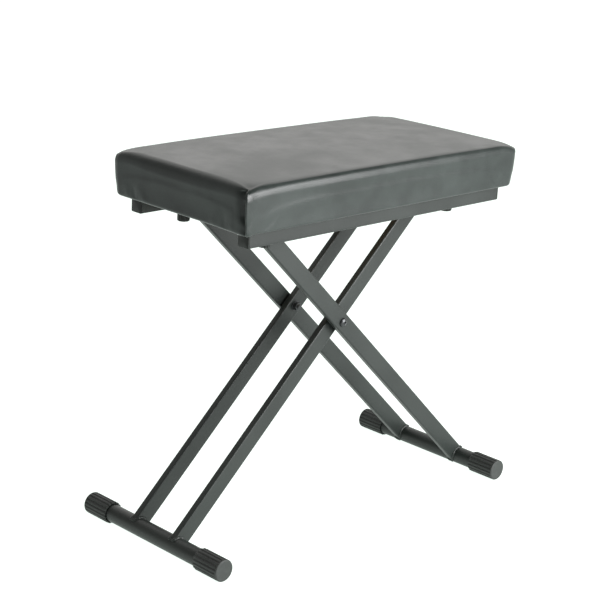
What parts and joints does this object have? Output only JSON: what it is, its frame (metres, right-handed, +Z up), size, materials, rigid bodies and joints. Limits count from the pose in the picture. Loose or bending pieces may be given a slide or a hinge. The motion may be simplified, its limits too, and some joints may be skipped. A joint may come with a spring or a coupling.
{
  "type": "folding keyboard bench",
  "caption": "Folding keyboard bench with a padded rectangular seat on crossed tube legs, ribbed rubber feet and knobs that clamp sliding blocks in tracks.",
  "frame": {"origin": "on the floor, under the middle of the bench", "axes": "+X along the seat towards the outer pair's foot tube, -Y the front, +Z up"},
  "size_m": [0.684, 0.323, 0.613],
  "materials": {
    "vinyl": "satin",
    "foam": "matte",
    "board": "raw",
    "black_paint": "satin powder coat",
    "rubber": "matte",
    "plastic": "fine texture",
    "zinc_steel": "zinc plated",
    "black_steel": "black oxide"
  },
  "bodies": {
    "seat": {"seat_cover": "vinyl", "seat_foam": "foam", "seat_board": "board", "rail_front": "black_paint", "rail_rear": "black_paint", "rail_plug_front_left": "plastic", "rail_plug_front_right": "plastic", "rail_plug_rear_left": "plastic", "rail_plug_rear_right": "plastic", "rail_screw_front_left": "zinc_steel", "rail_screw_front_right": "zinc_steel", "rail_screw_rear_left": "zinc_steel", "rail_screw_rear_right": "zinc_steel", "track_front": "zinc_steel", "track_rear": "zinc_steel", "track_screw_front_left": "zinc_steel", "track_screw_front_right": "zinc_steel", "track_screw_rear_left": "zinc_steel", "track_screw_rear_right": "zinc_steel", "pivot_block_front_left": "plastic", "pivot_block_rear_left": "plastic", "clamp_nut_front_left": "zinc_steel", "clamp_nut_rear_left": "zinc_steel"},
    "outer_frame": {"outer_leg_front": "black_paint", "outer_leg_rear": "black_paint", "outer_crossbar": "black_paint", "outer_foot_tube": "black_paint", "outer_foot_cap_front": "rubber", "outer_foot_cap_rear": "rubber", "pivot_bolt_front": "black_steel", "pivot_bolt_rear": "black_steel", "pivot_spacer_front": "plastic", "pivot_spacer_rear": "plastic", "pivot_washer_front": "black_steel", "pivot_washer_rear": "black_steel", "pivot_nut_front": "black_steel", "pivot_nut_rear": "black_steel"},
    "inner_frame": {"inner_leg_front": "black_paint", "inner_leg_rear": "black_paint", "inner_crossbar": "black_paint", "inner_foot_tube": "black_paint", "inner_foot_cap_front": "rubber", "inner_foot_cap_rear": "rubber"},
    "slide_front": {"pivot_block_front_right": "plastic", "clamp_nut_front_right": "zinc_steel"},
    "slide_rear": {"pivot_block_rear_right": "plastic", "clamp_nut_rear_right": "zinc_steel"},
    "knob_body_front_left": {"knob_front_left": "plastic", "knob_screw_front_left": "zinc_steel"},
    "knob_body_front_right": {"knob_front_right": "plastic", "knob_screw_front_right": "zinc_steel"},
    "knob_body_rear_left": {"knob_rear_left": "plastic", "knob_screw_rear_left": "zinc_steel"},
    "knob_body_rear_right": {"knob_rear_right": "plastic", "knob_screw_rear_right": "zinc_steel"}
  },
  "joints": [
    {"name": "fold", "type": "hinge", "parent": "seat", "child": "outer_frame", "pos_m": [-0.19848, 0, 0.51903], "axis": [0, -1, 0], "range_deg": [0, 40.8]},
    {"name": "crossing", "type": "hinge", "parent": "outer_frame", "child": "inner_frame", "pos_m": [0, 0, 0.3287], "axis": [0, -1, 0], "range_deg": [-81.7, 0]},
    {"name": "slide_front_pivot", "type": "hinge", "parent": "inner_frame", "child": "slide_front", "pos_m": [0.19848, 0, 0.51903], "axis": [0, -1, 0], "range_deg": [0, 40.9]},
    {"name": "slide_rear_pivot", "type": "hinge", "parent": "inner_frame", "child": "slide_rear", "pos_m": [0.19848, 0, 0.51903], "axis": [0, -1, 0], "range_deg": [0, 40.9]},
    {"name": "knob_front_left_turn", "type": "hinge", "parent": "seat", "child": "knob_body_front_left", "pos_m": [-0.20798, -0.0924, 0.5], "axis": [0, 0, 1], "continuous": true},
    {"name": "knob_rear_left_turn", "type": "hinge", "parent": "seat", "child": "knob_body_rear_left", "pos_m": [-0.20798, 0.0924, 0.5], "axis": [0, 0, 1], "continuous": true},
    {"name": "knob_front_right_turn", "type": "hinge", "parent": "slide_front", "child": "knob_body_front_right", "pos_m": [0.20798, -0.0924, 0.5], "axis": [0, 0, 1], "continuous": true},
    {"name": "knob_rear_right_turn", "type": "hinge", "parent": "slide_rear", "child": "knob_body_rear_right", "pos_m": [0.20798, 0.0924, 0.5], "axis": [0, 0, 1], "continuous": true}
  ],
  "couplings": [
    {"joint": "crossing", "follows": "fold", "ratio": -2},
    {"joint": "slide_front_pivot", "follows": "fold", "ratio": 1},
    {"joint": "slide_rear_pivot", "follows": "fold", "ratio": 1}
  ]
}
